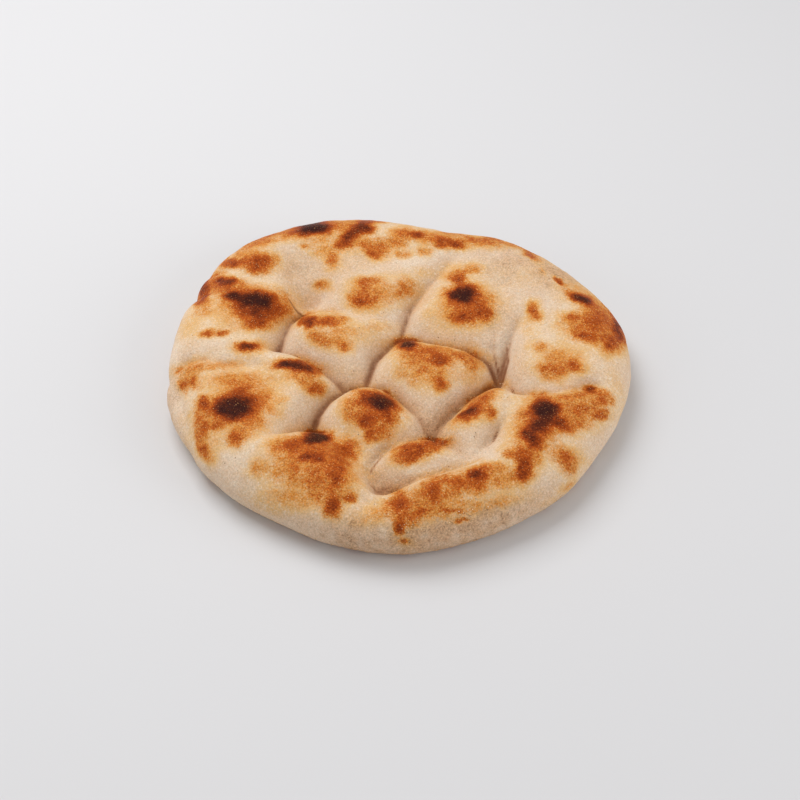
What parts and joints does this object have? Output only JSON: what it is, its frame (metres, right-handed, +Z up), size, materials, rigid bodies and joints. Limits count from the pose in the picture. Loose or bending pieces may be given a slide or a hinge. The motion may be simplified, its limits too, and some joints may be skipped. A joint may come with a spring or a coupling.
{
  "type": "pide",
  "caption": "Round leavened flatbread with a raised rim, its top pressed by fingers into uneven pillows and browned in spots.",
  "frame": {"origin": "on the flat underside, below the middle of the bounding box", "axes": "+Z up through the loaf's thickness; +X to the right and +Y away from the viewer, as the picture shows the loaf"},
  "size_m": [0.2487, 0.2404, 0.034],
  "materials": {
    "crust": "matt baked crust, cream in the furrows and browned to char on the pillows and rim"
  },
  "bodies": {
    "root": {"pide": "crust"}
  },
  "joints": []
}
